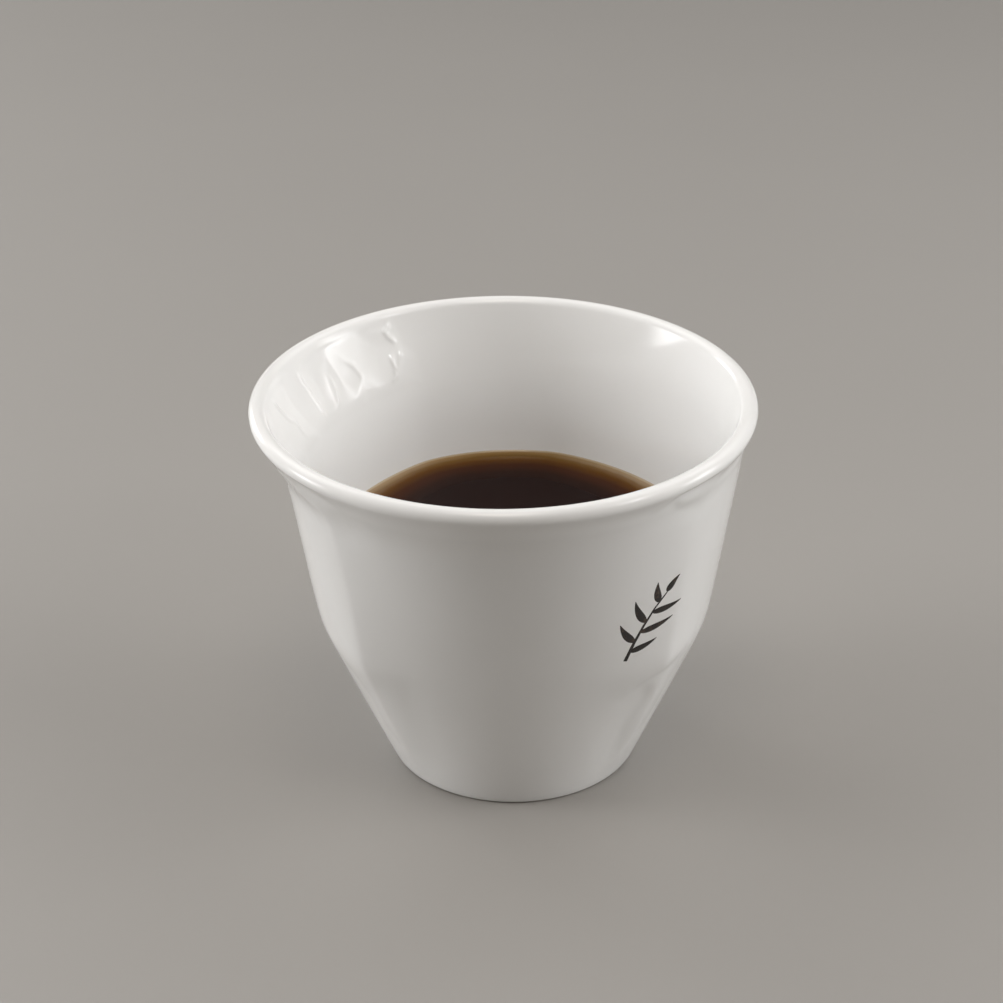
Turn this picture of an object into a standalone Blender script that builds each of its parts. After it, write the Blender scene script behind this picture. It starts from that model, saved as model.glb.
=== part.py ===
"""Espresso shot: black coffee in a small handleless porcelain cup with softly pressed sides.

The frame has its origin under the middle of the round rim, on the table, with +Z up. The shown front
of the cup looks along -Y. Angles go round the rim's axis from +X, so the front is at -90 degrees.
"""
import math

import bmesh
import bpy

# Driving dimensions of the cup, in metres
CUP_HEIGHT = 0.056
RIM_RADIUS = 0.035
LIP_ROUND = 0.0012
WALL_THICKNESS = 0.0022
FLOOR_HEIGHT = 0.0042
FLOOR_FILLET = 0.006
FOOT_RADIUS = 0.01825
FOOT_ROUND = 0.0005
FOOT_RING_WIDTH = 0.0028
FOOT_RECESS = 0.0009
BODY_SHIFT = 0.00124

# The turned wall: a steep lower cone, a shoulder, an upper cone, a neck and the flared mouth, which
# opens straight from its foot on the inside of the wall to the lip
SHOULDER_HEIGHT = 0.0236
SHOULDER_RADIUS = 0.02824
UPPER_SLOPE = 0.15
NECK_HEIGHT = 0.052
NECK_RADIUS = 0.0322
FLARE_HEIGHT = 0.050
FLARE_RADIUS = 0.0319
FLARE_SLOPE = 0.666
MOUTH_FOOT = 0.045
LOWER_SLOPE = (SHOULDER_RADIUS - FOOT_RADIUS) / SHOULDER_HEIGHT
CHORD_SLOPE = (NECK_RADIUS - FOOT_RADIUS) / NECK_HEIGHT

# How softly the stretches of the wall run into each other
SHOULDER_BEND = 0.0005
INNER_BEND = 0.0024
NECK_BEND = 0.0006
FLARE_BEND = 0.0012
MOUTH_BEND = 0.0003

# The coffee: its level above the table, and the gap between its solid and the porcelain
COFFEE_LEVEL = 0.0334
COFFEE_GAP = 0.0003

# Sides pressed in while the clay was soft: the middle's angle and half the width in degrees, and the
# depth at the shoulder. The front's depth makes its middle run nearly straight from foot to neck.
PRESSED_SIDES = (
    {"angle": -88, "half_width": 48, "depth": 0.0037},
    {"angle": 40, "half_width": 32, "depth": 0.0016},
    {"angle": 147, "half_width": 30, "depth": 0.0019},
)
PRESS_SOFTNESS = 0.03

# Crumples inside the mouth: each is a ridge that leans in degrees from its foot to its top
MOUTH_CRUMPLES = (
    {"angle": 123, "lean": 2, "half_width": 11, "proud": 0.0004},
    {"angle": 147, "lean": 0, "half_width": 9, "proud": 0.0004},
    {"angle": 157, "lean": 4, "half_width": 9, "proud": 0.0005},
    {"angle": 172, "lean": 8, "half_width": 10, "proud": 0.0004},
)
CRUMPLE_FOOT = 0.044
CRUMPLE_TOP = 0.0535

STEPS = 72


def soft_min(first, second, bend):
    """The smaller of two values, rounded where they cross."""
    return (first + second - math.hypot(first - second, bend)) / 2


def soft_max(first, second, bend):
    """The larger of two values, rounded where they cross."""
    return (first + second + math.hypot(first - second, bend)) / 2


def smooth_step(start, end, value):
    """0 before start, 1 after end, smooth between."""
    t = min(max((value - start) / (end - start), 0.0), 1.0)
    return t * t * (3 - 2 * t)


def degrees_between(angle, other):
    """The signed turn in degrees from one angle to another, the short way round."""
    return (angle - other + 180) % 360 - 180


def press(angle, height):
    """How far in the pressed sides lie: most at the shoulder, and nothing at the foot and the neck."""
    bulge = body_radius(height, SHOULDER_BEND) - FOOT_RADIUS - CHORD_SLOPE * height
    largest = SHOULDER_RADIUS - FOOT_RADIUS - CHORD_SLOPE * SHOULDER_HEIGHT
    depth = 0.0
    for side in PRESSED_SIDES:
        turn = min(abs(degrees_between(angle, side["angle"])), 85)
        edge = math.cos(math.radians(side["half_width"]))
        sagitta = 1 - edge / math.cos(math.radians(turn))
        soft = (sagitta + math.hypot(sagitta, PRESS_SOFTNESS)) / 2
        depth += side["depth"] * max(bulge, 0.0) / largest * soft / (1 - edge)
    return depth


def crumple(angle, height):
    """How far the inside of the mouth stands proud at a crumple's ridge."""
    up = (height - CRUMPLE_FOOT) / (CRUMPLE_TOP - CRUMPLE_FOOT)
    if not 0 < up < 1:
        return 0.0
    proud = 0.0
    for ridge in MOUTH_CRUMPLES:
        turn = abs(degrees_between(angle, ridge["angle"] + ridge["lean"] * up))
        proud = max(proud, ridge["proud"] * (1 - turn / ridge["half_width"]))
    return proud * math.sin(math.pi * up)


def body_radius(height, bend):
    """The turned wall's outer radius below the flare, with its shoulder rounded by bend."""
    lower = FOOT_RADIUS + LOWER_SLOPE * height
    upper = SHOULDER_RADIUS + UPPER_SLOPE * (height - SHOULDER_HEIGHT)
    return soft_min(soft_min(lower, upper, bend), NECK_RADIUS, NECK_BEND)


def outer_radius(angle, height):
    """The outside of the wall, measured from the rim's axis."""
    shift = BODY_SHIFT * math.cos(math.radians(angle))
    body = body_radius(height, SHOULDER_BEND) - press(angle, height) + shift
    flare = FLARE_RADIUS + FLARE_SLOPE * (height - FLARE_HEIGHT)
    return soft_max(body, flare, FLARE_BEND)


def inner_body_radius(angle, height):
    """The inside of the wall below the mouth, measured from the rim's axis."""
    shift = BODY_SHIFT * math.cos(math.radians(angle))
    slant = LOWER_SLOPE if height < SHOULDER_HEIGHT else UPPER_SLOPE
    wall = WALL_THICKNESS * math.hypot(1, slant)
    return body_radius(height, INNER_BEND) - wall - press(angle, height) + shift


def inner_radius(angle, height):
    """The inside of the wall, which opens straight to the lip above the mouth's foot."""
    foot = inner_body_radius(angle, MOUTH_FOOT)
    opening = RIM_RADIUS - 2 * LIP_ROUND - foot
    mouth = foot + opening * (height - MOUTH_FOOT) / (CUP_HEIGHT - LIP_ROUND - MOUTH_FOOT)
    return soft_max(inner_body_radius(angle, height), mouth, MOUTH_BEND) - crumple(angle, height)


def spread(start, end, count):
    """Evenly spaced values from start up to, but without, end."""
    return [start + (end - start) * i / count for i in range(count)]


def lip_points():
    """The round lip, from its inner side over the top to under its outer side."""
    centre = RIM_RADIUS - LIP_ROUND
    height = CUP_HEIGHT - LIP_ROUND
    angles = [math.radians(degrees) for degrees in (180, 135, 90, 45, 0, -35)]
    return [(centre + LIP_ROUND * math.cos(a), height + LIP_ROUND * math.sin(a)) for a in angles]


def inner_profile(wall_heights, gap):
    """From the floor's middle up the inside of the wall, gap inside the porcelain, at angle 0."""
    points = [(0.0, FLOOR_HEIGHT + gap), (0.006, FLOOR_HEIGHT + gap)]
    for arc in spread(0, math.pi / 2, 5):
        height = FLOOR_HEIGHT + FLOOR_FILLET * (1 - math.cos(arc))
        radius = inner_radius(0, height) - FLOOR_FILLET * (1 - math.sin(arc))
        points.append((radius - gap * math.sin(arc), height + gap * math.cos(arc)))
    return points + [(inner_radius(0, height) - gap, height) for height in wall_heights]


def cup_profile():
    """The whole cup from the floor's middle, over the lip and down to the middle of its underside."""
    fillet_top = FLOOR_HEIGHT + FLOOR_FILLET
    lip_height = CUP_HEIGHT - LIP_ROUND
    inside = spread(fillet_top, 0.020, 3) + spread(0.020, 0.029, 4) + spread(0.029, 0.043, 4)
    inside += spread(0.043, lip_height, 7)
    outside = spread(0.0534, 0.049, 4) + spread(0.049, 0.028, 6) + spread(0.028, 0.021, 6)
    outside += spread(0.021, 0.0012, 7)
    points = inner_profile(inside, 0.0) + lip_points()
    points += [(outer_radius(0, height), height) for height in outside]
    for arc in (0, math.pi / 4, math.pi / 2):
        height = FOOT_ROUND * (1 - math.sin(arc))
        points.append((outer_radius(0, height) - FOOT_ROUND * (1 - math.cos(arc)), height))
    ring_inside = points[-1][0] - FOOT_RING_WIDTH
    points.append((ring_inside, 0.0))
    points.append((ring_inside - FOOT_RECESS, FOOT_RECESS))
    points.append((0.007, FOOT_RECESS))
    points.append((0.0, FOOT_RECESS))
    return points


def coffee_profile():
    """The coffee from the middle of its surface, down its side to the middle of its bottom."""
    side = spread(FLOOR_HEIGHT + FLOOR_FILLET, COFFEE_LEVEL, 8) + [COFFEE_LEVEL]
    surface = [(0.0, COFFEE_LEVEL), (0.012, COFFEE_LEVEL)]
    return surface + inner_profile(side, COFFEE_GAP)[::-1]


def turned_mesh(name, profile):
    """A profile in (radius, height) turned once round Z with a Screw modifier, as a plain mesh."""
    line = bpy.data.meshes.new(name + "_profile")
    edges = [(i, i + 1) for i in range(len(profile) - 1)]
    line.from_pydata([(radius, 0, height) for radius, height in profile], edges, [])
    guide = bpy.data.objects.new(name + "_profile", line)
    bpy.context.scene.collection.objects.link(guide)
    screw = guide.modifiers.new("turn", "SCREW")
    screw.steps = STEPS
    screw.render_steps = STEPS
    screw.use_merge_vertices = True
    screw.merge_threshold = 0.00001
    depsgraph = bpy.context.evaluated_depsgraph_get()
    mesh = bpy.data.meshes.new_from_object(guide.evaluated_get(depsgraph))
    bpy.data.objects.remove(guide)
    mesh.name = name
    return mesh


def press_mesh(mesh, surface_radius):
    """Move each turned point in or out, as surface_radius(angle, height, radius) says for its side."""
    bm = bmesh.new()
    bm.from_mesh(mesh)
    bmesh.ops.remove_doubles(bm, verts=bm.verts, dist=0.000001)
    for vert in bm.verts:
        radius = math.hypot(vert.co.x, vert.co.y)
        if radius < 0.000001:
            continue
        angle = math.degrees(math.atan2(vert.co.y, vert.co.x))
        height = vert.co.z
        at_zero = surface_radius(0, height, radius)
        here = surface_radius(angle, height, radius)
        share = min(radius / at_zero, 1.0)
        moved = radius + (here - at_zero) * share
        vert.co.x *= moved / radius
        vert.co.y *= moved / radius
    bm.to_mesh(mesh)
    bm.free()


def cup_surface(angle, height, radius):
    """The wall's surface that a turned point of the cup belongs to; the lip itself stays round."""
    if height > CUP_HEIGHT - LIP_ROUND - 0.0001:
        return RIM_RADIUS
    inside, outside = inner_radius(0, height), outer_radius(0, height)
    if height > FLOOR_HEIGHT - 0.0001 and radius < (inside + outside) / 2:
        return inner_radius(angle, height)
    lip_share = smooth_step(CUP_HEIGHT - 0.0026, CUP_HEIGHT - 0.0020, height)
    return outer_radius(angle, height) * (1 - lip_share) + outside * lip_share


def coffee_surface(angle, height, radius):
    """The coffee follows the inside of the wall."""
    return inner_radius(angle, height)


def material(name, colour, roughness):
    """A Principled material of one colour."""
    made = bpy.data.materials.new(name)
    made.use_nodes = True
    shader = made.node_tree.nodes["Principled BSDF"]
    shader.inputs["Base Color"].default_value = (*colour, 1)
    shader.inputs["Roughness"].default_value = roughness
    made.diffuse_color = (*colour, 1)
    return made


def add_piece(name, profile, surface_radius, finish, collection):
    """Turn, press and finish one piece and put it in the part's collection."""
    mesh = turned_mesh(name, profile)
    press_mesh(mesh, surface_radius)
    mesh.shade_smooth()
    mesh.set_sharp_from_angle(angle=math.radians(40))
    mesh.materials.append(finish)
    piece = bpy.data.objects.new(name, mesh)
    collection.objects.link(piece)
    return piece


for old in list(bpy.data.objects):
    bpy.data.objects.remove(old)

part = bpy.data.collections.new("espresso_shot")
bpy.context.scene.collection.children.link(part)
add_piece("cup", cup_profile(), cup_surface, material("glazed_porcelain", (0.86, 0.855, 0.845), 0.12), part)
add_piece("coffee", coffee_profile(), coffee_surface, material("black_coffee", (0.030, 0.012, 0.006), 0.05), part)
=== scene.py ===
"""The looks of an espresso shot: black coffee in a small handleless cup of pressed white porcelain."""
import math

import bpy
from mathutils import Matrix, Vector
from mathutils.geometry import delaunay_2d_cdt


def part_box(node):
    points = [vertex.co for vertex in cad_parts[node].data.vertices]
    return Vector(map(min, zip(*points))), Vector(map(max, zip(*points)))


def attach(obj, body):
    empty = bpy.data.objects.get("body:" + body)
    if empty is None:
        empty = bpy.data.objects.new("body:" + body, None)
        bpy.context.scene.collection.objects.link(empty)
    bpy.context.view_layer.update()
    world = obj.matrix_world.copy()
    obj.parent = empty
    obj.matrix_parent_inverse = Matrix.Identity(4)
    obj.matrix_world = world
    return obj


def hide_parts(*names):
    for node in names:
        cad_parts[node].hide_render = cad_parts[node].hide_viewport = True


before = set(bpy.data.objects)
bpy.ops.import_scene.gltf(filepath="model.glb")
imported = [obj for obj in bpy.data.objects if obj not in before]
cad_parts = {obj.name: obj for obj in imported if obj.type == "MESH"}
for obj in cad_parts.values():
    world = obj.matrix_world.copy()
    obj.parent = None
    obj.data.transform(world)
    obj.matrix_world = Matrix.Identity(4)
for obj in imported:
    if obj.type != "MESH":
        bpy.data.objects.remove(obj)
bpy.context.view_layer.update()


# The view: a camera at arm's length, looking down into the cup at the photograph's angle.
# Its distances are counted from the middle of the rim, on the frame's axis.
cup_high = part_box("cup")[1]
CUP_HEIGHT = cup_high.z
CAMERA_BACK = 0.27366
CAMERA_ABOVE_RIM = 0.13059
CAMERA_PITCH = 28.34
CAMERA_HEADING = 0.071
CAMERA_ROLL = -0.438
CAMERA_LENS = 78.96
CAMERA_SENSOR = 36.0

camera_data = bpy.data.cameras.new("camera")
camera_data.lens = CAMERA_LENS
camera_data.sensor_width = CAMERA_SENSOR
camera = bpy.data.objects.new("camera", camera_data)
turn = Matrix.Rotation(math.radians(CAMERA_HEADING), 4, "Z")
tilt = Matrix.Rotation(math.radians(90 - CAMERA_PITCH), 4, "X")
roll = Matrix.Rotation(math.radians(CAMERA_ROLL), 4, "Z")
camera_place = Matrix.Translation((0, -CAMERA_BACK, CUP_HEIGHT + CAMERA_ABOVE_RIM))
camera.matrix_world = camera_place @ turn @ tilt @ roll
bpy.context.scene.collection.objects.link(camera)
bpy.context.scene.camera = camera


# The cup is one piece of white porcelain, turned with a round lip and a low foot ring. Its sides are
# pressed in by hand while the clay is soft, which also crumples the mouth, and it is then dipped in
# clear glaze and fired standing on the bare clay of its foot ring.
RIM_RADIUS = cup_high.x
LIP_ROUND = 0.0012
FLOOR_HEIGHT = 0.0042
FLOOR_FILLET = 0.006
FOOT_ROUND = 0.0005
FOOT_RING_WIDTH = 0.0028
FOOT_RECESS = 0.0009
FLARE_SLOPE = 0.666
UPPER_SLOPE = 0.15
WALL_SIZES = {
    "Foot Radius": 0.01825,
    "Shoulder Height": 0.0236,
    "Shoulder Radius": 0.02824,
    "Neck Height": 0.052,
    "Neck Radius": 0.0322,
    "Body Shift": 0.00124,
    "Wall Thickness": 0.0022,
    "Mouth Foot": 0.045,
}
LOWER_SLANT = 1.086
UPPER_SLANT = 1.011
SLANT_TURNS_AT = (0.020, 0.028)
SHOULDER_BEND = 0.0005
INNER_BEND = 0.0024
NECK_BEND = 0.0006
FLARE_BEND = 0.0012
FLARE_TIGHTENING = 0.9
FLARE_TIGHTENS_FROM = 0.051
MOUTH_BEND = 0.0008
MOUTH_LEAN = 0.32
PRESS_SOFTNESS = 0.03
PRESS_REACH = 85
PRESSED_SIDES = (
    {"Middle": -88.0, "Half Width": 48.0, "Depth": 0.0037},
    {"Middle": 40.0, "Half Width": 32.0, "Depth": 0.0016},
    {"Middle": 147.0, "Half Width": 30.0, "Depth": 0.0019},
)


class Field:
    """A value that changes over a surface, written as a formula and laid out as Math nodes."""

    def __init__(self, socket):
        self.socket = socket

    def __add__(self, other):
        return formula("ADD", self, other)

    def __sub__(self, other):
        return formula("SUBTRACT", self, other)

    def __rsub__(self, other):
        return formula("SUBTRACT", other, self)

    def __mul__(self, other):
        return formula("MULTIPLY", self, other)

    def __truediv__(self, other):
        return formula("DIVIDE", self, other)

    def __rtruediv__(self, other):
        return formula("DIVIDE", other, self)

    __radd__ = __add__
    __rmul__ = __mul__


def fill(tree, socket, value):
    """Links a field or a socket to an input, or sets a plain value on it."""
    if isinstance(value, Field):
        value = value.socket
    if isinstance(value, bpy.types.NodeSocket):
        tree.links.new(value, socket)
    else:
        socket.default_value = value


def place(tree, kind, inputs=None, **settings):
    """Adds a node with its settings and its inputs."""
    node = tree.nodes.new(kind)
    for name, value in settings.items():
        setattr(node, name, value)
    for name, value in (inputs or {}).items():
        fill(tree, node.inputs[name], value)
    return node


def formula(operation, *values):
    """One Math node on fields and plain numbers."""
    tree = next(value.socket.id_data for value in values if isinstance(value, Field))
    node = place(tree, "ShaderNodeMath", operation=operation)
    for socket, value in zip(node.inputs, values):
        fill(tree, socket, value)
    return Field(node.outputs[0])


def cosine(degrees):
    """The cosine of an angle in degrees."""
    return formula("COSINE", formula("RADIANS", degrees))


def soft_min(first, second, bend):
    """The smaller of two fields, rounded where they cross."""
    return (first + second - formula("SQRT", (first - second) * (first - second) + bend * bend)) / 2


def soft_max(first, second, bend):
    """The larger of two fields, rounded where they cross."""
    return (first + second + formula("SQRT", (first - second) * (first - second) + bend * bend)) / 2


def rise(value, start, end):
    """0 before start, 1 after end and smooth between."""
    inputs = {"Value": value, "From Min": start, "From Max": end}
    node = place(value.socket.id_data, "ShaderNodeMapRange", inputs, interpolation_type="SMOOTHSTEP")
    return Field(node.outputs["Result"])


def new_tree(name, inputs, outputs):
    """A Geometry Nodes tree with named inputs: a number's default, or the kind of another socket."""
    tree = bpy.data.node_groups.new(name, "GeometryNodeTree")
    for label, value in inputs.items():
        kind = value if isinstance(value, str) else "NodeSocketFloat"
        socket = tree.interface.new_socket(label, in_out="INPUT", socket_type=kind)
        if kind == "NodeSocketFloat":
            socket.default_value = value
    for label, kind in outputs.items():
        tree.interface.new_socket(label, in_out="OUTPUT", socket_type=kind)
    source = tree.nodes.new("NodeGroupInput")
    given = {label: Field(source.outputs[label]) for label in inputs}
    return tree, given, tree.nodes.new("NodeGroupOutput")


def use_tree(tree, group, inputs):
    """Places a tree inside another one."""
    node = place(tree, "GeometryNodeGroup", node_tree=group)
    for name, value in inputs.items():
        fill(tree, node.inputs[name], value)
    return node


def pressed_side_tree():
    """How far in one side lies: a flat pressed across the round wall, as deep as the wall bulges there."""
    sizes = {"Angle": 0.0, "Bulge": 0.0, "Middle": 0.0, "Half Width": 45.0, "Depth": 0.001}
    tree, given, result = new_tree("pressed_side", sizes, {"Pressed": "NodeSocketFloat"})
    away = formula("WRAP", given["Angle"] - given["Middle"], 180, -180)
    away = formula("MINIMUM", formula("ABSOLUTE", away), PRESS_REACH)
    edge = cosine(given["Half Width"])
    sagitta = 1 - edge / cosine(away)
    soft = (sagitta + formula("SQRT", sagitta * sagitta + PRESS_SOFTNESS ** 2)) / 2
    fill(tree, result.inputs["Pressed"], given["Depth"] * given["Bulge"] * soft / (1 - edge))
    return tree


def wall_body_tree():
    """The wall below the mouth at an angle and a height: its outside and inside from the rim's axis."""
    outputs = {"Outside": "NodeSocketFloat", "Inside": "NodeSocketFloat"}
    tree, given, result = new_tree("wall_body", {"Angle": 0.0, "Height": 0.0, **WALL_SIZES}, outputs)
    angle, height = given["Angle"], given["Height"]
    foot, neck = given["Foot Radius"], given["Neck Radius"]
    shoulder, shoulder_height = given["Shoulder Radius"], given["Shoulder Height"]
    lower = foot + (shoulder - foot) * height / shoulder_height
    upper = shoulder + UPPER_SLOPE * (height - shoulder_height)
    body = soft_min(soft_min(lower, upper, SHOULDER_BEND), neck, NECK_BEND)
    inner_body = soft_min(soft_min(lower, upper, INNER_BEND), neck, NECK_BEND)

    chord_slope = (neck - foot) / given["Neck Height"]
    most = shoulder - foot - chord_slope * shoulder_height
    bulge = formula("MAXIMUM", body - foot - chord_slope * height, 0) / most
    pressed_side = pressed_side_tree()
    pressed = None
    for side in PRESSED_SIDES:
        one = use_tree(tree, pressed_side, {"Angle": angle, "Bulge": bulge, **side}).outputs["Pressed"]
        pressed = Field(one) if pressed is None else pressed + Field(one)

    moved = given["Body Shift"] * cosine(angle) - pressed
    slant = LOWER_SLANT + (UPPER_SLANT - LOWER_SLANT) * rise(height, *SLANT_TURNS_AT)
    fill(tree, result.inputs["Outside"], body + moved)
    fill(tree, result.inputs["Inside"], inner_body + moved - given["Wall Thickness"] * slant)
    return tree


def cup_wall_tree():
    """The whole wall: the body, flared outside under the lip, and opened inside up to the lip."""
    outputs = {"Outside": "NodeSocketFloat", "Inside": "NodeSocketFloat"}
    tree, given, result = new_tree("cup_wall", {"Angle": 0.0, "Height": 0.0, **WALL_SIZES}, outputs)
    angle, height, mouth_foot = given["Angle"], given["Height"], given["Mouth Foot"]
    sizes = {name: given[name] for name in WALL_SIZES}
    wall_body = wall_body_tree()
    body = use_tree(tree, wall_body, {"Angle": angle, "Height": height, **sizes})
    at_foot = use_tree(tree, wall_body, {"Angle": angle, "Height": mouth_foot, **sizes})

    lip_radius, lip_height = RIM_RADIUS - LIP_ROUND, CUP_HEIGHT - LIP_ROUND
    under_lip = math.hypot(1, FLARE_SLOPE)
    flare_start = lip_height - LIP_ROUND * FLARE_SLOPE / under_lip
    flare = lip_radius + LIP_ROUND / under_lip + FLARE_SLOPE * (height - flare_start)
    bend = FLARE_BEND * (1 - FLARE_TIGHTENING * rise(height, FLARE_TIGHTENS_FROM, flare_start))
    fill(tree, result.inputs["Outside"], soft_max(Field(body.outputs["Outside"]), flare, bend))

    foot_radius = Field(at_foot.outputs["Inside"])
    opening = lip_radius - LIP_ROUND * math.cos(MOUTH_LEAN) - foot_radius
    mouth_top = lip_height + LIP_ROUND * math.sin(MOUTH_LEAN)
    climbed = (height - mouth_foot) / (mouth_top - mouth_foot)
    into_lip = opening - (mouth_top - mouth_foot) * math.tan(MOUTH_LEAN)
    above = formula("MAXIMUM", climbed, 0)
    mouth = foot_radius + opening * climbed + into_lip * above * above * (1 - above)
    mouth_bend = MOUTH_BEND * (1 - above)
    fill(tree, result.inputs["Inside"], soft_max(Field(body.outputs["Inside"]), mouth, mouth_bend))
    return tree


cup_wall = cup_wall_tree()

CUP_TURNS = 480
SEAM_WELD = 0.0000001
SAME_SPOT = 0.000001
FLOOR_ARC_STEP = 0.16
LIP_ARC_STEP = 0.2
FOOT_ARC_STEP = 0.3
RECESS_ARC_START = 0.2
FOOT_RING_STEP = 0.0006
RECESS_ROWS = 6
# Each stretch of rows: the height where it ends and the step between its rows.
INNER_STRETCHES = ((0.033, 0.002), (0.043, 0.001))
MOUTH_STEP = 0.00026
OUTER_STRETCHES = ((0.045, 0.0004), (0.027, 0.0012), (0.015, 0.0005), (FOOT_ROUND, 0.0008))


def profile_row(height, side=0.0, inset=0.0, share=1.0, fixed=0.0):
    """A row of the turned clay: which side it belongs to, how far inside it lies, or its own radius."""
    return {"height": height, "side": side, "inset": inset, "share": share, "fixed": fixed}


def spread(start, end, step):
    """Evenly spaced values from start up to, but without, end, about a step apart."""
    count = max(round(abs(end - start) / step), 1)
    return [start + (end - start) * i / count for i in range(count)]


def floor_rows(reach, count=8):
    """The bowl's inside from its middle to the top of its rounded corner, reach inside the porcelain."""
    flat = FLOOR_HEIGHT - reach
    rows = [profile_row(flat, inset=FLOOR_FILLET - reach, share=i / count) for i in range(count)]
    for arc in spread(0, math.pi / 2, FLOOR_ARC_STEP):
        height = flat + FLOOR_FILLET * (1 - math.cos(arc))
        rows.append(profile_row(height, inset=FLOOR_FILLET * (1 - math.sin(arc)) - reach))
    return rows


def wall_rows(start, stretches, side=0.0):
    """Rows along one side of the wall: each stretch has the height where it ends and its own step."""
    rows = []
    for end, step in stretches:
        rows += [profile_row(height, side=side) for height in spread(start, end, step)]
        start = end
    return rows


def cup_rows():
    """The clay's outline from the floor's middle, over the lip, down and under to the foot's middle."""
    lip_radius, lip_height = RIM_RADIUS - LIP_ROUND, CUP_HEIGHT - LIP_ROUND
    mouth_top = lip_height + LIP_ROUND * math.sin(MOUTH_LEAN)
    lip_to = -math.atan(FLARE_SLOPE)
    rows = floor_rows(0.0)
    rows += wall_rows(FLOOR_HEIGHT + FLOOR_FILLET, (*INNER_STRETCHES, (mouth_top, MOUTH_STEP)))
    for arc in spread(math.pi - MOUTH_LEAN, lip_to, LIP_ARC_STEP):
        radius = lip_radius + LIP_ROUND * math.cos(arc)
        rows.append(profile_row(lip_height + LIP_ROUND * math.sin(arc), fixed=radius))
    flare_start = lip_height + LIP_ROUND * math.sin(lip_to)
    rows += wall_rows(flare_start, OUTER_STRETCHES, side=1.0)
    for arc in spread(0, math.pi / 2, FOOT_ARC_STEP):
        inset = FOOT_ROUND * (1 - math.cos(arc))
        rows.append(profile_row(FOOT_ROUND * (1 - math.sin(arc)), side=1.0, inset=inset))
    for across in spread(FOOT_ROUND, FOOT_RING_WIDTH, FOOT_RING_STEP) + [FOOT_RING_WIDTH]:
        rows.append(profile_row(0.0, side=1.0, inset=across))
    for arc in spread(RECESS_ARC_START, math.pi / 2, FOOT_ARC_STEP) + [math.pi / 2]:
        inset = FOOT_RING_WIDTH + FOOT_RECESS * (1 - math.cos(arc))
        rows.append(profile_row(FOOT_RECESS * math.sin(arc), side=1.0, inset=inset))
    recess_inset = FOOT_RING_WIDTH + FOOT_RECESS
    for i in range(1, RECESS_ROWS + 1):
        rows.append(profile_row(FOOT_RECESS, side=1.0, inset=recess_inset, share=1 - i / RECESS_ROWS))
    return rows


def turned_object(name, rows, steps):
    """The rows as a line that a Screw modifier turns round the axis, each with what it carries."""
    mesh = bpy.data.meshes.new(name)
    points = [(RIM_RADIUS if row["share"] else 0.0, 0.0, row["height"]) for row in rows]
    mesh.from_pydata(points, [(i, i + 1) for i in range(len(rows) - 1)], [])
    for label in ("side", "inset", "share", "fixed"):
        values = mesh.attributes.new(label, "FLOAT", "POINT")
        values.data.foreach_set("value", [row[label] for row in rows])
    guide = bpy.data.objects.new(name, mesh)
    bpy.context.scene.collection.objects.link(guide)
    screw = guide.modifiers.new("turn", "SCREW")
    screw.steps = steps
    screw.render_steps = steps
    screw.use_merge_vertices = True
    screw.merge_threshold = SEAM_WELD
    return guide


MOUTH_MIDDLE = 150.0
OUTER_MIDDLE = -90.0
RELIEF_BLUR = 2
FIXED_FROM = 0.001
CRUMPLE_RADIUS = 0.031
# How the steps round the axis are shared out: an angle, and the share of them that is used up there.
TURN_SHARES = ((-170, 0.0), (-115, 0.165), (-62, 0.245), (-25, 0.375), (110, 0.580), (190, 1.0))
CREASE_WIDTH = 0.00034
CREASE_DEPTH = 0.00016
# Each point: its angle in degrees, its height in mm and its relief in mm.
MOUTH_CRUMPLES = (
    # The border, where the clay lies smooth
    (108, 45.0, 0.0), (108, 50.0, 0.0), (108, 54.3, 0.0), (192, 44.5, 0.0), (192, 50.0, 0.0),
    (192, 54.0, 0.0), (120, 54.5, 0.0), (132, 54.5, 0.0), (143, 54.5, 0.0), (166, 54.3, 0.0),
    (180, 54.2, 0.0), (115, 45.3, 0.0), (124, 45.0, 0.0), (135, 44.6, 0.0), (147, 44.9, 0.0),
    (160, 44.8, 0.0), (172, 44.6, 0.0),
    # The crumples inside that border
    (151, 54.6, 0.17), (156.5, 53.6, 0.28), (157.5, 51.6, 0.30), (156, 49.2, 0.28), (155, 46.8, 0.19),
    (146.5, 50.6, 0.14), (146, 49.2, 0.23), (147.3, 47.0, 0.17), (176, 53.4, 0.17), (174.5, 51.4, 0.23),
    (172, 49.6, 0.23), (168.5, 46.8, 0.17), (139.5, 52.0, 0.17), (136.3, 50.5, 0.22), (135, 48.9, 0.23),
    (139, 46.4, 0.14), (130, 46.4, 0.19), (128.5, 48.4, 0.15), (134, 53.3, 0.11), (127, 51.6, 0.06),
    (122.6, 53.2, 0.15), (121.6, 52.0, 0.11), (123.3, 49.4, 0.17), (123.4, 47.6, 0.15),
    (120.6, 49.6, 0.14), (119, 51.2, -0.01), (152, 51.6, -0.06), (151, 48.6, -0.06), (144, 53.0, -0.03),
    (142, 49.2, -0.07), (166, 51.0, -0.07), (164, 47.8, -0.03), (183, 50.0, 0.03), (115, 49.0, 0.0),
)
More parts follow.
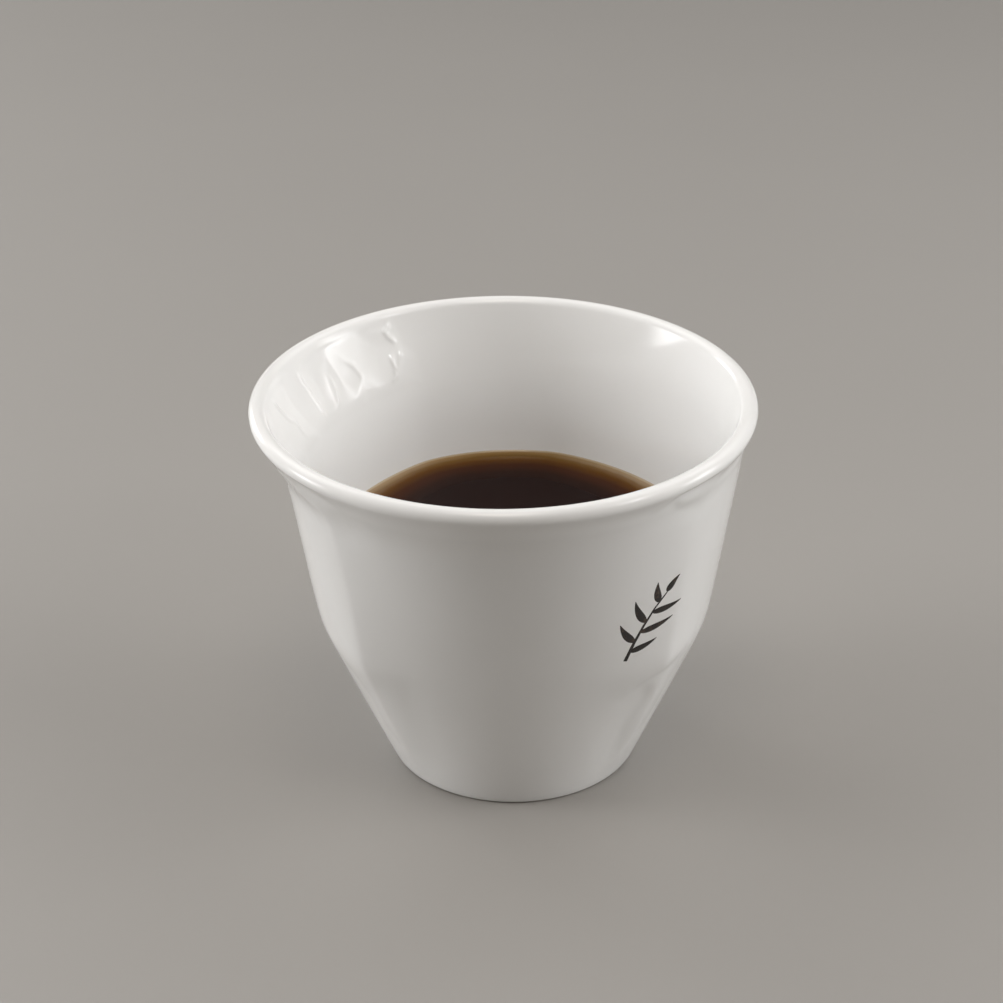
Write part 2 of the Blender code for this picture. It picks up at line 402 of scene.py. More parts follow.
# Each point: its angle in degrees, its height in mm and its lift in mm, which lets the ridge fade.
MOUTH_CREASES = (
    ((148.6, 55.1, 0.7), (152, 54.7, 0.35), (155.6, 54.2, 0.1), (157.1, 53.5, 0.0), (157.3, 52.4, 0.0),
     (156.5, 51.1, 0.0), (156.3, 49.8, 0.0), (155.7, 48.5, 0.0), (155.3, 47.3, 0.2), (155.1, 46.4, 0.7)),
    ((146.5, 51.0, 0.6), (146.2, 50.2, 0.1), (146.1, 49.5, -0.1), (146.4, 48.5, -0.1), (147.2, 47.4, 0.1),
     (147.7, 46.6, 0.6)),
    ((176.4, 54.0, 0.7), (175.9, 53.4, 0.1), (175, 52, 0.0), (173.6, 50.6, 0.1), (170.4, 49.3, 0.15),
     (170, 47.9, 0.3), (168.5, 46.4, 0.7)),
    ((139.7, 51.9, 0.5), (136.5, 50.6, 0.25), (135.1, 49, 0.25), (135.7, 48, 0.45), (138.5, 47.0, 0.7)),
    ((121.6, 54.4, 0.4), (122.3, 53.9, -0.1), (123.4, 53.4, -0.1), (122.9, 52.8, -0.1),
     (121.6, 52.1, 0.0), (120.6, 51.7, 0.6)),
    ((123.3, 50.2, 0.6), (123.3, 49.5, 0.0), (123.1, 48.7, -0.1), (122.4, 48.0, -0.1),
     (121.6, 48.6, -0.1), (120.4, 49.8, 0.0), (119.8, 50.6, 0.6)),
    ((123.2, 47.9, 0.1), (123.2, 47.3, 0.0), (124.3, 46.9, 0.2), (125.6, 46.6, 0.7)),
)
# Each point: its angle in degrees, its height in mm and its relief in mm.
OUTER_FOLDS = (
    # Under the lip at the right front
    (-28, 53.0, 0.0), (-33, 54.2, 0.0), (-42, 54.4, 0.0), (-50, 54.2, 0.0), (-62, 53.8, 0.0),
    (-64, 51.5, 0.0), (-38, 53.9, -0.25), (-42, 53.6, -0.45), (-46.6, 53.2, -0.45), (-50, 52.9, -0.22),
    (-56, 53.2, -0.05), (-35, 52.4, 0.05), (-41, 52.0, 0.12), (-47, 52.3, 0.14), (-54, 52.7, 0.06),
    (-29, 49.0, 0.0), (-37, 49.3, -0.10), (-42, 49.9, -0.22), (-48, 51.1, -0.20), (-53.5, 51.7, -0.16),
    (-58, 51.8, -0.05), (-36, 47.0, 0.0), (-46, 47.5, 0.02), (-56, 48.5, 0.0), (-46, 44.0, 0.0),
    # Under the lip at the left front
    (-170, 52.5, 0.0), (-158, 54.3, 0.0), (-144, 54.4, 0.0), (-132, 54.2, 0.0), (-122, 53.6, 0.0),
    (-120, 49.0, 0.0), (-150, 52.6, -0.08), (-140, 53.4, -0.28), (-135, 52.4, -0.30), (-130, 51.6, -0.22),
    (-146, 51.0, 0.14), (-139, 49.6, 0.20), (-137, 47.4, 0.16), (-138, 44.0, 0.10), (-139, 38.0, 0.0),
    (-131, 47.0, -0.10), (-145, 47.4, -0.04), (-142, 45.8, -0.04), (-152, 47.0, 0.0), (-126, 44.0, 0.0),
    (-160, 44.0, 0.0),
    # From the shoulder to the foot at the right front
    (-26, 27.0, 0.0), (-34, 29.5, 0.0), (-46, 27.5, 0.0), (-58, 23.5, 0.0), (-62, 17.0, 0.0),
    (-24, 22.0, 0.0), (-30, 25.0, 0.10), (-35, 24.6, 0.22), (-40, 23.4, 0.30), (-45, 22.0, 0.26),
    (-50, 20.4, 0.14), (-55, 18.6, 0.0), (-36, 22.6, -0.02), (-40.5, 21.6, -0.14), (-45, 20.4, -0.14),
    (-50, 18.7, -0.08), (-42, 17.5, -0.24), (-46, 12.0, -0.22), (-52, 14.0, -0.06), (-38.8, 19.0, 0.10),
    (-38, 15.0, 0.12), (-38, 11.0, 0.12), (-38.5, 7.6, 0.10), (-42, 5.4, 0.06), (-31, 17.0, -0.05),
    (-31, 11.0, -0.05), (-30, 5.0, 0.0), (-22, 12.0, 0.0), (-43.5, 6.8, -0.16), (-47, 5.9, -0.16),
    (-50, 4.6, -0.08), (-45, 3.6, 0.02), (-46, 1.6, 0.0), (-55, 3.5, 0.0), (-57, 8.5, 0.0),
    (-36, 2.0, 0.0),
    # From the shoulder to the foot at the left front
    (-158, 25.0, 0.0), (-140, 26.5, 0.0), (-122, 24.5, 0.0), (-114, 18.0, 0.0), (-118, 8.0, 0.0),
    (-160, 12.0, 0.0), (-150, 21.6, 0.06), (-143, 22.0, 0.12), (-136, 22.0, 0.14), (-131, 20.8, 0.10),
    (-128.5, 18.4, 0.08), (-130.5, 14.4, 0.12), (-133, 9.6, 0.10), (-134.5, 5.4, 0.04),
    (-142, 16.0, -0.12), (-143, 10.0, -0.08), (-124, 17.0, -0.03), (-134, 2.5, 0.0), (-150, 3.0, 0.0),
)


def relief_net(name, points):
    """A flat net of facets, unrolled from the wall: each point is an angle, a height and a relief in mm."""
    flat = [Vector((math.radians(angle) * CRUMPLE_RADIUS, height / 1000)) for angle, height, _ in points]
    faces = delaunay_2d_cdt(flat, [], [], 0, SAME_SPOT)[2]
    mesh = bpy.data.meshes.new(name)
    mesh.from_pydata([(*spot, 0) for spot in flat], [], faces)
    relief = mesh.attributes.new("relief", "FLOAT", "POINT")
    relief.data.foreach_set("value", [point[2] / 1000 for point in points])
    net = bpy.data.objects.new(name, mesh)
    bpy.context.scene.collection.objects.link(net)
    return net


def crease_lines(name, lines):
    """Lines on the unrolled wall: each point is an angle, a height and its lift off the wall in mm."""
    points, edges = [], []
    for line in lines:
        first = len(points)
        for angle, height, lift in line:
            points.append((math.radians(angle) * CRUMPLE_RADIUS, height / 1000, lift / 1000))
        edges += [(i, i + 1) for i in range(first, len(points) - 1)]
    mesh = bpy.data.meshes.new(name)
    mesh.from_pydata(points, edges, [])
    lines_object = bpy.data.objects.new(name, mesh)
    bpy.context.scene.collection.objects.link(lines_object)
    return lines_object


def unrolled_spot(tree, angle, height, middle):
    """Where an angle and a height lie on the unrolled wall round a middle angle."""
    unrolled = formula("WRAP", angle - middle, 180, -180) + middle
    along = formula("RADIANS", unrolled) * CRUMPLE_RADIUS
    return place(tree, "ShaderNodeCombineXYZ", {"X": along, "Y": height})


def read_net(tree, net, angle, height, middle):
    """The relief at an angle and a height, read from a net whose middle lies at an angle."""
    info = place(tree, "GeometryNodeObjectInfo", {"Object": net})
    spot = unrolled_spot(tree, angle, height, middle)
    relief = place(tree, "GeometryNodeInputNamedAttribute", {"Name": "relief"}, data_type="FLOAT")
    inputs = {"Mesh": info.outputs["Geometry"], "Value": relief.outputs["Attribute"],
              "Sample Position": spot.outputs[0]}
    sample = place(tree, "GeometryNodeSampleNearestSurface", inputs, data_type="FLOAT")
    return Field(sample.outputs["Value"])


def crease_relief(tree, lines, angle, height, middle):
    """A narrow round ridge along each line."""
    info = place(tree, "GeometryNodeObjectInfo", {"Object": lines})
    spot = unrolled_spot(tree, angle, height, middle)
    near = place(tree, "GeometryNodeProximity", {0: info.outputs["Geometry"]}, target_element="EDGES")
    fill(tree, near.inputs["Sample Position"], spot.outputs[0])
    away = Field(near.outputs["Distance"]) / CREASE_WIDTH
    return CREASE_DEPTH * formula("EXPONENT", 0 - away * away)


def spread_turns(tree, angle):
    """Turns even steps round the axis into fine ones where the clay is crumpled and wide ones elsewhere."""
    turned = formula("WRAP", angle - TURN_SHARES[0][0], 360, 0) / 360
    reached = Field(place(tree, "ShaderNodeValue").outputs[0])
    reached.socket.default_value = TURN_SHARES[0][0]
    for (start, start_share), (end, end_share) in zip(TURN_SHARES, TURN_SHARES[1:]):
        inputs = {"Value": turned, "From Min": start_share, "From Max": end_share, "To Max": end - start}
        reached = reached + Field(place(tree, "ShaderNodeMapRange", inputs).outputs["Result"])
    return reached


def finish_tree(tree, geometry, material, result):
    """Ends a tree: smooth faces, real ones in place of instances, and the piece's material."""
    smooth = place(tree, "GeometryNodeSetShadeSmooth", {"Geometry": geometry})
    real = place(tree, "GeometryNodeRealizeInstances", {"Geometry": smooth.outputs[0]}).outputs[0]
    dressed = place(tree, "GeometryNodeSetMaterial", {"Geometry": real, "Material": material})
    fill(tree, result.inputs["Geometry"], dressed.outputs[0])


def pressed_clay_tree():
    """Sets each point of a turned piece on the cup's pressed wall, and crumples the mouth."""
    inputs = {"Geometry": "NodeSocketGeometry", "Mouth Crumples": "NodeSocketObject",
              "Mouth Creases": "NodeSocketObject", "Outer Folds": "NodeSocketObject",
              "Material": "NodeSocketMaterial", **WALL_SIZES}
    tree, given, result = new_tree("pressed_clay", inputs, {"Geometry": "NodeSocketGeometry"})
    spot = place(tree, "GeometryNodeInputPosition")
    parts = place(tree, "ShaderNodeSeparateXYZ", {"Vector": spot.outputs[0]})
    even = formula("DEGREES", formula("ARCTAN2", Field(parts.outputs["Y"]), Field(parts.outputs["X"])))
    angle = spread_turns(tree, even)
    height = Field(parts.outputs["Z"])
    carried = {}
    for label in ("side", "inset", "share", "fixed"):
        reader = place(tree, "GeometryNodeInputNamedAttribute", {"Name": label}, data_type="FLOAT")
        carried[label] = Field(reader.outputs["Attribute"])

    sizes = {name: given[name] for name in WALL_SIZES}
    wall = use_tree(tree, cup_wall, {"Angle": angle, "Height": height, **sizes})
    outside, inside = Field(wall.outputs["Outside"]), Field(wall.outputs["Inside"])
    crumples = read_net(tree, given["Mouth Crumples"], angle, height, MOUTH_MIDDLE)
    folds = read_net(tree, given["Outer Folds"], angle, height, OUTER_MIDDLE)
    side = carried["side"]
    loose = formula("LESS_THAN", carried["fixed"], FIXED_FROM)
    relief = (side * folds - (1 - side) * crumples) * loose
    blur_inputs = {"Value": relief, "Iterations": RELIEF_BLUR}
    soft = Field(place(tree, "GeometryNodeBlurAttribute", blur_inputs, data_type="FLOAT").outputs["Value"])
    ridges = crease_relief(tree, given["Mouth Creases"], angle, height, MOUTH_MIDDLE)
    creased = ridges * (1 - side) * loose
    wall_radius = side * outside + (1 - side) * inside + soft - creased - carried["inset"]
    radius = (wall_radius * loose + carried["fixed"]) * carried["share"]

    turned = formula("RADIANS", angle)
    x, y = radius * formula("COSINE", turned), radius * formula("SINE", turned)
    where = place(tree, "ShaderNodeCombineXYZ", {"X": x, "Y": y, "Z": height})
    moved_inputs = {"Geometry": given["Geometry"], "Position": where.outputs[0]}
    moved = place(tree, "GeometryNodeSetPosition", moved_inputs).outputs[0]
    closed = place(tree, "GeometryNodeMergeByDistance", {"Geometry": moved, "Distance": SAME_SPOT})
    finish_tree(tree, closed.outputs[0], given["Material"], result)
    return tree


def made_mesh(guide, tree, inputs, name):
    """Runs a tree on a guide, keeps the result as a plain mesh object and removes the guide."""
    modifier = guide.modifiers.new("shape", "NODES")
    modifier.node_group = tree
    for item in tree.interface.items_tree:
        if item.in_out == "INPUT" and item.name in inputs:
            modifier[item.identifier] = inputs[item.name]
    depsgraph = bpy.context.evaluated_depsgraph_get()
    shaped = guide.evaluated_get(depsgraph)
    mesh = bpy.data.meshes.new_from_object(shaped, preserve_all_data_layers=True, depsgraph=depsgraph)
    bpy.data.objects.remove(guide)
    mesh.name = name
    piece = bpy.data.objects.new(name, mesh)
    bpy.context.scene.collection.objects.link(piece)
    return piece


GLAZE_COLOUR = (0.88, 0.875, 0.865, 1)
GLAZE_SHADE = (0.85, 0.845, 0.830, 1)
GLAZE_TONE_SCALE = 90.0
GLAZE_IOR = 1.5
GLAZE_FINISH = {"Ripple Size": 0.004, "Ripple Depth": 0.00001, "Gloss Low": 0.06, "Gloss High": 0.12}
GLOSS_CLOUD_SCALE = 70.0
GLOSS_CLOUD_RANGE = (0.35, 0.65)
SPECK_COLOUR = (0.25, 0.20, 0.15, 1)
SPECK_SCALE = 230.0
SPECK_CHANCE = 0.02
SPECK_SIZE = 0.02
BARE_CLAY_COLOUR = (0.72, 0.68, 0.62, 1)
BARE_CLAY_ROUGHNESS = 0.75
BARE_HEIGHT = 0.00015


def glaze_surface_group():
    """Fired glaze: a faint ripple over its face and a gloss that varies a little."""
    group = bpy.data.node_groups.new("glaze_surface", "ShaderNodeTree")
    for label, value in GLAZE_FINISH.items():
        socket = group.interface.new_socket(label, in_out="INPUT", socket_type="NodeSocketFloat")
        socket.default_value = value
    group.interface.new_socket("Roughness", in_out="OUTPUT", socket_type="NodeSocketFloat")
    group.interface.new_socket("Normal", in_out="OUTPUT", socket_type="NodeSocketVector")
    source, sink = group.nodes.new("NodeGroupInput"), group.nodes.new("NodeGroupOutput")
    spot = place(group, "ShaderNodeTexCoord")
    scale = 1 / Field(source.outputs["Ripple Size"])
    ripple_inputs = {"Vector": spot.outputs["Object"], "Scale": scale, "Detail": 2.0}
    ripple = place(group, "ShaderNodeTexNoise", ripple_inputs)
    bump_inputs = {"Height": ripple.outputs[0], "Distance": source.outputs["Ripple Depth"], "Strength": 1.0}
    bump = place(group, "ShaderNodeBump", bump_inputs)
    cloud_inputs = {"Vector": spot.outputs["Object"], "Scale": GLOSS_CLOUD_SCALE, "Detail": 3.0}
    cloud = place(group, "ShaderNodeTexNoise", cloud_inputs)
    dull, bright = GLOSS_CLOUD_RANGE
    gloss_inputs = {"Value": cloud.outputs[0], "From Min": dull, "From Max": bright,
                    "To Min": source.outputs["Gloss Low"], "To Max": source.outputs["Gloss High"]}
    gloss = place(group, "ShaderNodeMapRange", gloss_inputs)
    fill(group, sink.inputs["Roughness"], gloss.outputs["Result"])
    fill(group, sink.inputs["Normal"], bump.outputs["Normal"])
    return group


glaze_surface = glaze_surface_group()


def new_material(name):
    """An empty Principled material."""
    made = bpy.data.materials.new(name)
    made.use_nodes = True
    return made, made.node_tree, made.node_tree.nodes["Principled BSDF"]


def mixed(tree, share, first, second):
    """Two colours mixed, as the second one's share says."""
    node = place(tree, "ShaderNodeMix", {0: share, 6: first, 7: second}, data_type="RGBA")
    return node.outputs[2]


def porcelain_material():
    """White clay under clear glaze with a few iron specks, and bare clay where the cup stands."""
    made, tree, shader = new_material("porcelain")
    spot = place(tree, "ShaderNodeTexCoord").outputs["Object"]
    tone_inputs = {"Vector": spot, "Scale": GLAZE_TONE_SCALE, "Detail": 4.0}
    tone = place(tree, "ShaderNodeTexNoise", tone_inputs).outputs[0]
    glazed = mixed(tree, tone, GLAZE_COLOUR, GLAZE_SHADE)
    specks = place(tree, "ShaderNodeTexVoronoi", {"Vector": spot, "Scale": SPECK_SCALE})
    chance = place(tree, "ShaderNodeSeparateColor", {"Color": specks.outputs["Color"]}).outputs[0]
    rare = formula("LESS_THAN", Field(chance), SPECK_CHANCE)
    near = formula("LESS_THAN", Field(specks.outputs["Distance"]), SPECK_SIZE)
    speckled = mixed(tree, rare * near, glazed, SPECK_COLOUR)
    height = Field(place(tree, "ShaderNodeSeparateXYZ", {"Vector": spot}).outputs["Z"])
    bare = 1 - rise(height, BARE_HEIGHT, BARE_HEIGHT * 2)
    fill(tree, shader.inputs["Base Color"], mixed(tree, bare, speckled, BARE_CLAY_COLOUR))
    glaze = place(tree, "ShaderNodeGroup", GLAZE_FINISH, node_tree=glaze_surface)
    gloss = Field(glaze.outputs["Roughness"])
    fill(tree, shader.inputs["Roughness"], gloss + bare * (BARE_CLAY_ROUGHNESS - gloss))
    fill(tree, shader.inputs["Normal"], glaze.outputs["Normal"])
    shader.inputs["IOR"].default_value = GLAZE_IOR
    return made


porcelain = porcelain_material()
crumples = relief_net("mouth_crumples", MOUTH_CRUMPLES)
creases = crease_lines("mouth_creases", MOUTH_CREASES)
folds = relief_net("outer_folds", OUTER_FOLDS)
pressed_clay = pressed_clay_tree()
clay = {"Mouth Crumples": crumples, "Mouth Creases": creases, "Outer Folds": folds, **WALL_SIZES}
cup_guide = turned_object("cup_profile", cup_rows(), CUP_TURNS)
cup = made_mesh(cup_guide, pressed_clay, {"Material": porcelain, **clay}, "cup_porcelain")
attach(cup, "root")
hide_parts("cup")


# A small sprig painted on the cup's right front with a loaded brush, in dark colour under the glaze:
# one bent stem and narrow leaves on both sides of it, each a single stroke that swells and thins.
SPRIG_ANGLE = -50.5
SPRIG_HEIGHT = 0.0262
SPRIG_STEM = ((-0.0016, 0.0), (-0.0008, 0.0030), (0.0002, 0.0058), (0.0014, 0.0084), (0.0029, 0.0106))
SPRIG_SIZES = {
    "Leaves": 8,
    "Leaf Length": 0.0046,
    "Leaf Width": 0.00056,
    "Stem Width": 0.00028,
    "Lean": 50.0,
    "Paint Depth": 0.10,
    "Wall Radius": 0.029,
}
SPRIG_SEED = 4
STEM_POINTS = 60
STEM_THICK = 1.15
STEM_THINS = 0.75
LEAF_POINTS = 24
LEAF_BOW = 0.13
LEAF_BELLY = 0.62
LEAF_TIP = 0.10
LEAF_SHAKE = 7.0
LEAF_GROWTH = 0.72
LEAF_MIDDLE_GROWTH = 0.42
LEAF_TOP_LOSS = 0.12
STROKE_SIDES = 10
RAY_FROM = 0.05
RAY_LENGTH = 0.04
PAINT_COLOUR = (0.016, 0.013, 0.012, 1)
PAINT_THIN_COLOUR = (0.060, 0.042, 0.030, 1)
PAINT_GRAIN_SCALE = 900.0
PAINT_THINS_AT = (0.45, 0.72)


def painted_sprig_tree():
    """Brushes a stem and its leaves along a flat line, then lays the strokes on the cup's wall."""
    inputs = {"Geometry": "NodeSocketGeometry", **SPRIG_SIZES, "Leaves": "NodeSocketInt",
              "Middle": SPRIG_ANGLE, "Base Height": SPRIG_HEIGHT, "Cup": "NodeSocketObject",
              "Material": "NodeSocketMaterial"}
    tree, given, result = new_tree("painted_sprig", inputs, {"Geometry": "NodeSocketGeometry"})
    line = place(tree, "GeometryNodeMeshToCurve", {"Mesh": given["Geometry"]})
    along = Field(place(tree, "GeometryNodeSplineParameter").outputs["Factor"])

    stem = place(tree, "GeometryNodeResampleCurve", {"Curve": line.outputs[0], "Count": STEM_POINTS})
    stem_width = given["Stem Width"] * (STEM_THICK - STEM_THINS * along)
    stem = place(tree, "GeometryNodeSetCurveRadius", {"Curve": stem.outputs[0], "Radius": stem_width})

    stroke_inputs = {"Resolution": LEAF_POINTS, "Start": (0, 0, 0)}
    stroke = place(tree, "GeometryNodeCurveQuadraticBezier", stroke_inputs)
    leaf_length = given["Leaf Length"]
    reach = place(tree, "ShaderNodeCombineXYZ", {"X": leaf_length})
    bow = place(tree, "ShaderNodeCombineXYZ", {"X": leaf_length * 0.5, "Y": leaf_length * LEAF_BOW})
    fill(tree, stroke.inputs["End"], reach.outputs[0])
    fill(tree, stroke.inputs["Middle"], bow.outputs[0])
    swell = formula("SINE", formula("POWER", along, LEAF_BELLY) * math.pi)
    leaf_width = given["Leaf Width"] * (LEAF_TIP + (1 - LEAF_TIP) * swell)
    leaf = place(tree, "GeometryNodeSetCurveRadius", {"Curve": stroke.outputs[0], "Radius": leaf_width})

    joints = place(tree, "GeometryNodeCurveToPoints", {"Curve": line.outputs[0], "Count": given["Leaves"]})
    order = Field(place(tree, "GeometryNodeInputIndex").outputs[0])
    which = 1 - 2 * formula("MODULO", order, 2)
    tangent = place(tree, "ShaderNodeSeparateXYZ", {"Vector": joints.outputs["Tangent"]})
    run, climb = Field(tangent.outputs["X"]), Field(tangent.outputs["Y"])
    last = 1 - formula("LESS_THAN", order, given["Leaves"] - 1)
    loose = {2: -LEAF_SHAKE, 3: LEAF_SHAKE, "Seed": SPRIG_SEED}
    shake = Field(place(tree, "FunctionNodeRandomValue", loose, data_type="FLOAT").outputs[1])
    lean = formula("RADIANS", (given["Lean"] * which + shake) * (1 - last))
    heading = formula("ARCTAN2", climb, run) + lean
    turn = place(tree, "ShaderNodeCombineXYZ", {"Z": heading})
    from_root = order / (given["Leaves"] - 1)
    fullness = formula("SINE", from_root * math.pi)
    growth = LEAF_GROWTH + LEAF_MIDDLE_GROWTH * fullness - LEAF_TOP_LOSS * from_root
    mirror = which * (1 - last) + last
    size = place(tree, "ShaderNodeCombineXYZ", {"X": growth, "Y": growth * mirror, "Z": growth})
    leaf_inputs = {"Points": joints.outputs["Points"], "Instance": leaf.outputs[0],
                   "Scale": size.outputs[0]}
    leaves = place(tree, "GeometryNodeInstanceOnPoints", leaf_inputs)
    rotation = place(tree, "FunctionNodeEulerToRotation", {0: turn.outputs[0]})
    fill(tree, leaves.inputs["Rotation"], rotation.outputs[0])
    fill(tree, leaves.inputs["Selection"], formula("GREATER_THAN", order, 0.5))

    strokes = place(tree, "GeometryNodeJoinGeometry")
    tree.links.new(stem.outputs[0], strokes.inputs[0])
    tree.links.new(leaves.outputs[0], strokes.inputs[0])
    drawn = place(tree, "GeometryNodeRealizeInstances", {"Geometry": strokes.outputs[0]})
    ring = place(tree, "GeometryNodeCurvePrimitiveCircle", {"Resolution": STROKE_SIDES, "Radius": 1.0})
    width = place(tree, "GeometryNodeInputRadius").outputs[0]
    tube_inputs = {"Curve": drawn.outputs[0], "Profile Curve": ring.outputs[0],
                   "Scale": width, "Fill Caps": True}
    tubes = place(tree, "GeometryNodeCurveToMesh", tube_inputs)

    flat_spot = place(tree, "GeometryNodeInputPosition").outputs[0]
    spot = place(tree, "ShaderNodeSeparateXYZ", {"Vector": flat_spot})
    across, up, out = (Field(spot.outputs[axis]) for axis in "XYZ")
    turned = formula("RADIANS", given["Middle"]) + across / given["Wall Radius"]
    to_axis = {"X": 0 - formula("COSINE", turned), "Y": 0 - formula("SINE", turned)}
    inward = place(tree, "ShaderNodeCombineXYZ", to_axis).outputs[0]
    height = given["Base Height"] + up
    outer = {"X": formula("COSINE", turned) * RAY_FROM, "Y": formula("SINE", turned) * RAY_FROM, "Z": height}
    start = place(tree, "ShaderNodeCombineXYZ", outer).outputs[0]
    cup_info = place(tree, "GeometryNodeObjectInfo", {"Object": given["Cup"]})
    ray = {"Target Geometry": cup_info.outputs["Geometry"], "Source Position": start,
           "Ray Direction": inward, "Ray Length": RAY_LENGTH}
    hit = place(tree, "GeometryNodeRaycast", ray)
    lift = place(tree, "ShaderNodeVectorMath", {0: inward}, operation="SCALE")
    fill(tree, lift.inputs["Scale"], 0 - out * given["Paint Depth"])
    lifted = {0: hit.outputs["Hit Position"], 1: lift.outputs[0]}
    where = place(tree, "ShaderNodeVectorMath", lifted, operation="ADD").outputs[0]
    laid = place(tree, "GeometryNodeSetPosition", {"Geometry": tubes.outputs[0], "Position": where})
    finish_tree(tree, laid.outputs[0], given["Material"], result)
    return tree


def sprig_material():
    """Iron-black colour that thins to brown where the brush runs dry, under the same glaze."""
    made, tree, shader = new_material("painted_sprig")
    spot = place(tree, "ShaderNodeTexCoord").outputs["Object"]
    grain_inputs = {"Vector": spot, "Scale": PAINT_GRAIN_SCALE, "Detail": 3.0}
    dryness = place(tree, "ShaderNodeTexNoise", grain_inputs).outputs[0]
    thin = rise(Field(dryness), *PAINT_THINS_AT)
    fill(tree, shader.inputs["Base Color"], mixed(tree, thin, PAINT_COLOUR, PAINT_THIN_COLOUR))
    glaze = place(tree, "ShaderNodeGroup", GLAZE_FINISH, node_tree=glaze_surface)
    fill(tree, shader.inputs["Roughness"], glaze.outputs["Roughness"])
    fill(tree, shader.inputs["Normal"], glaze.outputs["Normal"])
    shader.inputs["IOR"].default_value = GLAZE_IOR
    return made


stem_mesh = bpy.data.meshes.new("sprig_stem")
stem_edges = [(i, i + 1) for i in range(len(SPRIG_STEM) - 1)]
stem_mesh.from_pydata([(*point, 0) for point in SPRIG_STEM], stem_edges, [])
sprig_guide = bpy.data.objects.new("sprig_stem", stem_mesh)
bpy.context.scene.collection.objects.link(sprig_guide)
where_it_is = {"Middle": SPRIG_ANGLE, "Base Height": SPRIG_HEIGHT, "Cup": cup, "Material": sprig_material()}
sprig = made_mesh(sprig_guide, painted_sprig_tree(), {**SPRIG_SIZES, **where_it_is}, "painted_sprig")
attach(sprig, "root")


# The coffee fills the cup to about three fifths of its height. It clings to the porcelain, so its edge
# is a thin rising film that lets golden-brown light through, and it looks black where it is deep.
COFFEE_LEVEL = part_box("coffee")[1].z
INTO_WALL = 0.00015
COFFEE_TURNS = 256
MIDDLE_ROWS = 10
FLAT_FROM = 0.008
EDGE_FROM = 0.003
FLAT_STEP = 0.0008
EDGE_STEP = 0.00012
SIDE_STEP = 0.001
CLIMB = 0.0008
CLIMB_REACH = 0.0007
# From the edge to the deep: the place in the edge band and the colour there.
EDGE_COLOURS = (
    (0.00, (0.560, 0.470, 0.350, 1)),
    (0.03, (0.300, 0.190, 0.075, 1)),
    (0.10, (0.175, 0.088, 0.017, 1)),
    (0.22, (0.115, 0.046, 0.008, 1)),
    (0.40, (0.056, 0.017, 0.005, 1)),
    (0.70, (0.025, 0.008, 0.004, 1)),
    (1.00, (0.014, 0.005, 0.004, 1)),
)
EDGE_BAND = 0.008
EDGE_CLOUD_SCALE = 160.0
EDGE_CLOUD_DEPTH = 0.10
EDGE_CLOUD_FROM = 0.001
COFFEE_FILM_SCALE = 45.0
COFFEE_ROUGHNESS = (0.02, 0.07)
COFFEE_SHINE = 0.10
WET_EDGE_START = 0.0007
WET_EDGE_END = 0.0018
WET_EDGE_GLOSS = 0.05
COFFEE_IOR = 1.33


def coffee_rows():
    """The coffee from its surface's middle to the clinging edge, down the wall and along the floor."""
    still_level = COFFEE_LEVEL - CLIMB
    rows = [profile_row(still_level, inset=FLAT_FROM, share=i / MIDDLE_ROWS) for i in range(MIDDLE_ROWS)]
    insets = spread(FLAT_FROM, EDGE_FROM, FLAT_STEP) + spread(EDGE_FROM, -INTO_WALL, EDGE_STEP)
    for inset in insets + [-INTO_WALL]:
        climb = CLIMB * math.exp(-inset / CLIMB_REACH)
        rows.append(profile_row(still_level + climb, inset=inset))
    side = spread(rows[-1]["height"], FLOOR_HEIGHT + FLOOR_FILLET, SIDE_STEP)[1:]
    rows += [profile_row(height, inset=-INTO_WALL) for height in side]
    return rows + floor_rows(INTO_WALL)[::-1]


def coffee_material():
    """Black coffee: golden brown in the thin edge, nearly black where it is deep, and mirror smooth."""
    made, tree, shader = new_material("black_coffee")
    inset = Field(place(tree, "ShaderNodeAttribute", attribute_name="inset").outputs["Fac"])
    share = Field(place(tree, "ShaderNodeAttribute", attribute_name="share").outputs["Fac"])
    spot = place(tree, "ShaderNodeTexCoord").outputs["Object"]
    cloud_inputs = {"Vector": spot, "Scale": EDGE_CLOUD_SCALE, "Detail": 3.0}
    cloud = Field(place(tree, "ShaderNodeTexNoise", cloud_inputs).outputs[0])
    clouded = (cloud - 0.5) * EDGE_CLOUD_DEPTH * rise(inset, 0.0, EDGE_CLOUD_FROM)
    depth = inset / EDGE_BAND + clouded + (1 - share)
    ramp = place(tree, "ShaderNodeValToRGB", {"Fac": depth})
    stops = ramp.color_ramp.elements
    while len(stops) < len(EDGE_COLOURS):
        stops.new(0.5)
    for stop, (position, colour) in zip(stops, EDGE_COLOURS):
        stop.position = position
        stop.color = colour
    fill(tree, shader.inputs["Base Color"], ramp.outputs["Color"])
    film_inputs = {"Vector": spot, "Scale": COFFEE_FILM_SCALE, "Detail": 2.0}
    film = place(tree, "ShaderNodeTexNoise", film_inputs).outputs[0]
    glossiest, dullest = COFFEE_ROUGHNESS
    gloss = place(tree, "ShaderNodeMapRange", {"Value": film, "To Min": glossiest, "To Max": dullest})
    fill(tree, shader.inputs["Roughness"], gloss.outputs["Result"])
    shader.inputs["IOR"].default_value = COFFEE_IOR
    shader.inputs["Specular IOR Level"].default_value = COFFEE_SHINE
    fill(tree, shader.inputs["Coat Weight"], (1 - rise(inset, WET_EDGE_START, WET_EDGE_END)) * share)
    shader.inputs["Coat Roughness"].default_value = WET_EDGE_GLOSS
    shader.inputs["Coat IOR"].default_value = COFFEE_IOR
    return made


coffee_guide = turned_object("coffee_profile", coffee_rows(), COFFEE_TURNS)
coffee = made_mesh(coffee_guide, pressed_clay, {"Material": coffee_material(), **clay}, "coffee_surface")
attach(coffee, "root")
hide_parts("coffee")
for net in (crumples, creases, folds):
    bpy.data.objects.remove(net)


